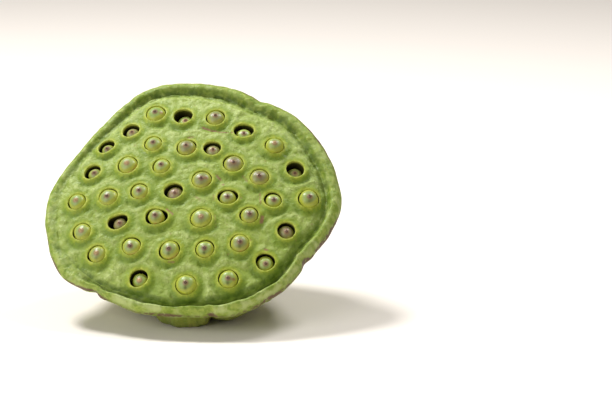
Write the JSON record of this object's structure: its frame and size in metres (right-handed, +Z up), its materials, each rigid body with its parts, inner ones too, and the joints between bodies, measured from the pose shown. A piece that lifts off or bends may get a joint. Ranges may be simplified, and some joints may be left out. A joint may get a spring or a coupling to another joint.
{
  "type": "lotus seed pod",
  "caption": "Lotus seed pod lying on its side: a bowl-shaped green receptacle with a seed in each open well of its flat face, and a short bent stem.",
  "frame": {"origin": "middle of the box round the whole pod, at the height of the surface that the pod lies on", "axes": "+Z up; the seed face looks towards -Y and up, leaning 47 degrees from +Z; +X runs across the face, along the pod's widest measure; the cut stem points towards +Y"},
  "size_m": [0.1196, 0.1018, 0.0868],
  "materials": {
    "receptacle": "fresh green plant skin, soft satin with a pale waxy bloom and fine wrinkles",
    "seed": "smooth pale green seed skin with a brown-pink tip, satin",
    "stem": "fresh green stem skin with fine lengthwise ribs, satin"
  },
  "bodies": {
    "root": {"receptacle": "receptacle", "seed_01": "seed", "seed_02": "seed", "seed_03": "seed", "seed_04": "seed", "seed_05": "seed", "seed_06": "seed", "seed_07": "seed", "seed_08": "seed", "seed_09": "seed", "seed_10": "seed", "seed_11": "seed", "seed_12": "seed", "seed_13": "seed", "seed_14": "seed", "seed_15": "seed", "seed_16": "seed", "seed_17": "seed", "seed_18": "seed", "seed_19": "seed", "seed_20": "seed", "seed_21": "seed", "seed_22": "seed", "seed_23": "seed", "seed_24": "seed", "seed_25": "seed", "seed_26": "seed", "seed_27": "seed", "seed_28": "seed", "seed_29": "seed", "seed_30": "seed", "seed_31": "seed", "seed_32": "seed", "seed_33": "seed", "seed_34": "seed", "seed_35": "seed", "seed_36": "seed", "seed_37": "seed", "seed_38": "seed", "seed_39": "seed", "stem": "stem"}
  },
  "joints": []
}
